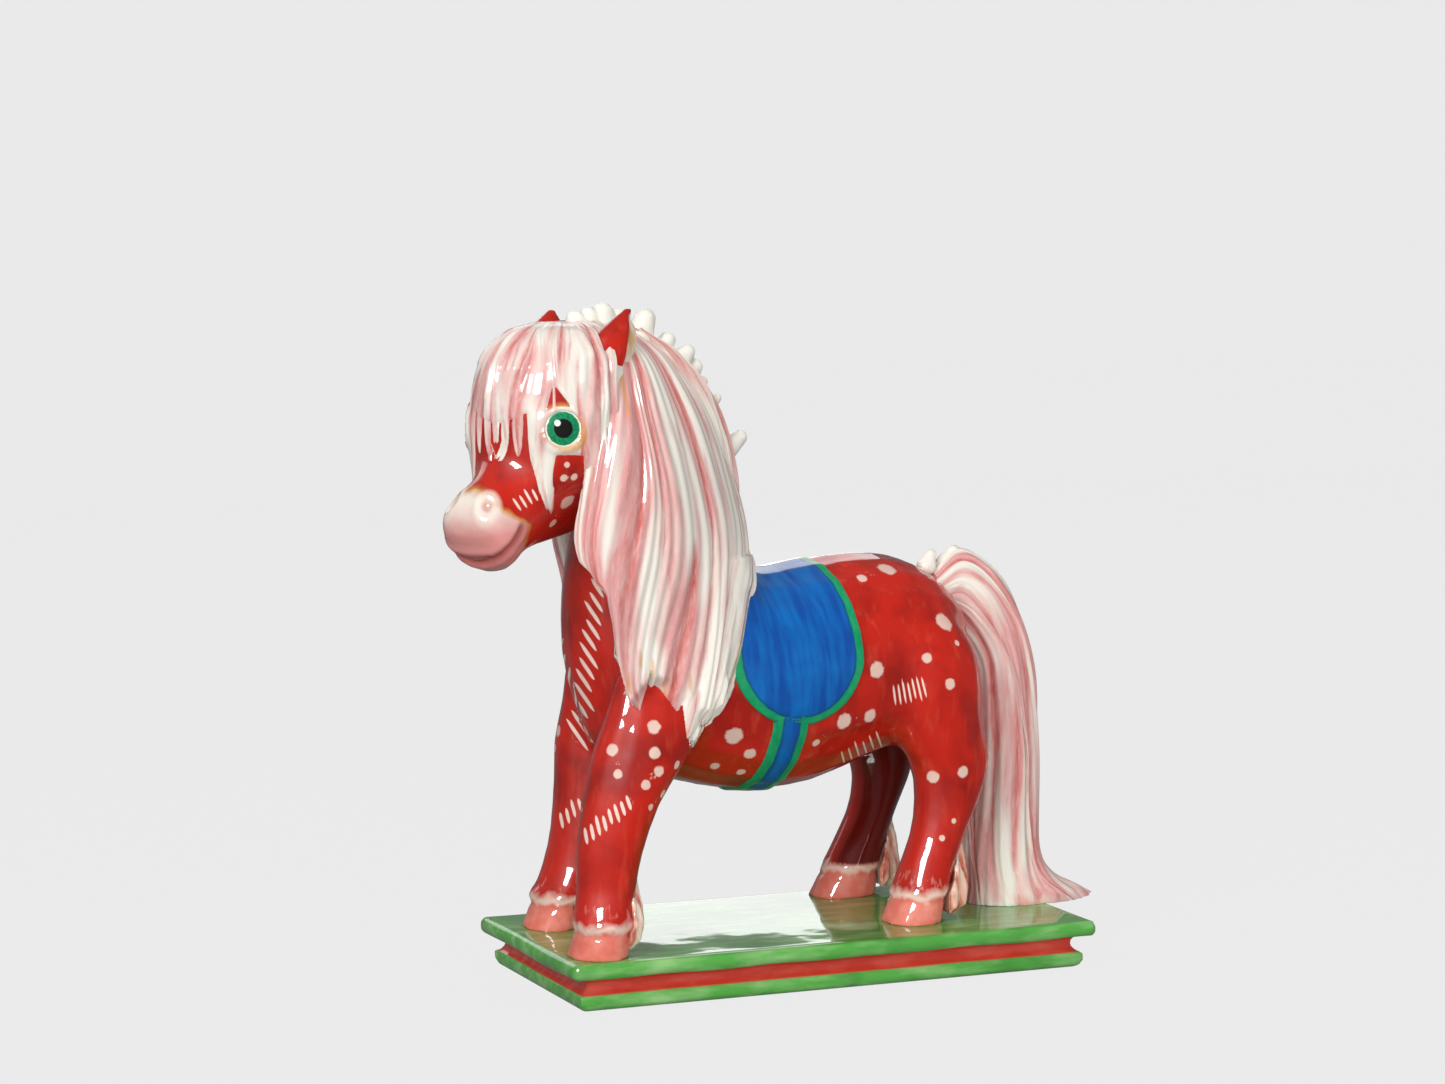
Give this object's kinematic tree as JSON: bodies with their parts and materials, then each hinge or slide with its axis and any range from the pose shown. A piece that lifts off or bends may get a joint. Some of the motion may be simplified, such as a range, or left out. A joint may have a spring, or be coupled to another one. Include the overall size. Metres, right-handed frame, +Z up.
{
  "type": "ceramic pony figurine",
  "caption": "Glossy hand-painted ceramic pony with a long carved mane, spotted red coat and blue saddle cloth, standing on a green moulded plinth as a table ornament.",
  "frame": {"origin": "centre of the plinth's underside, which rests on the table", "axes": "+X along the plinth from the pony's head toward its tail, +Y across the plinth to the pony's right, +Z up"},
  "size_m": [0.2438, 0.0963, 0.2225],
  "materials": {
    "plinth_glaze": "clear gloss glaze over brushed green with a red band",
    "coat_glaze": "clear gloss glaze over brushed red with pale dots and strokes",
    "hair_glaze": "clear gloss glaze over cream clay with pink and red streaks in the carved locks",
    "knot_glaze": "clear gloss glaze over off-white clay",
    "eye_glaze": "clear gloss glaze over a painted green iris and black pupil",
    "cloth_glaze": "clear gloss glaze over brushed blue with a green border"
  },
  "bodies": {
    "root": {"plinth": "plinth_glaze", "body": "coat_glaze", "front_left_leg": "coat_glaze", "front_right_leg": "coat_glaze", "rear_left_leg": "coat_glaze", "rear_right_leg": "coat_glaze", "front_left_feather": "hair_glaze", "front_right_feather": "hair_glaze", "rear_left_feather": "hair_glaze", "rear_right_feather": "hair_glaze", "head": "coat_glaze", "left_eye": "eye_glaze", "right_eye": "eye_glaze", "left_ear": "coat_glaze", "right_ear": "coat_glaze", "forelock": "hair_glaze", "mane_left": "hair_glaze", "mane_right": "hair_glaze", "crest_knots": "knot_glaze", "tail": "hair_glaze", "tail_knots": "knot_glaze", "saddle_cloth": "cloth_glaze", "girth_strap": "cloth_glaze"}
  },
  "joints": []
}
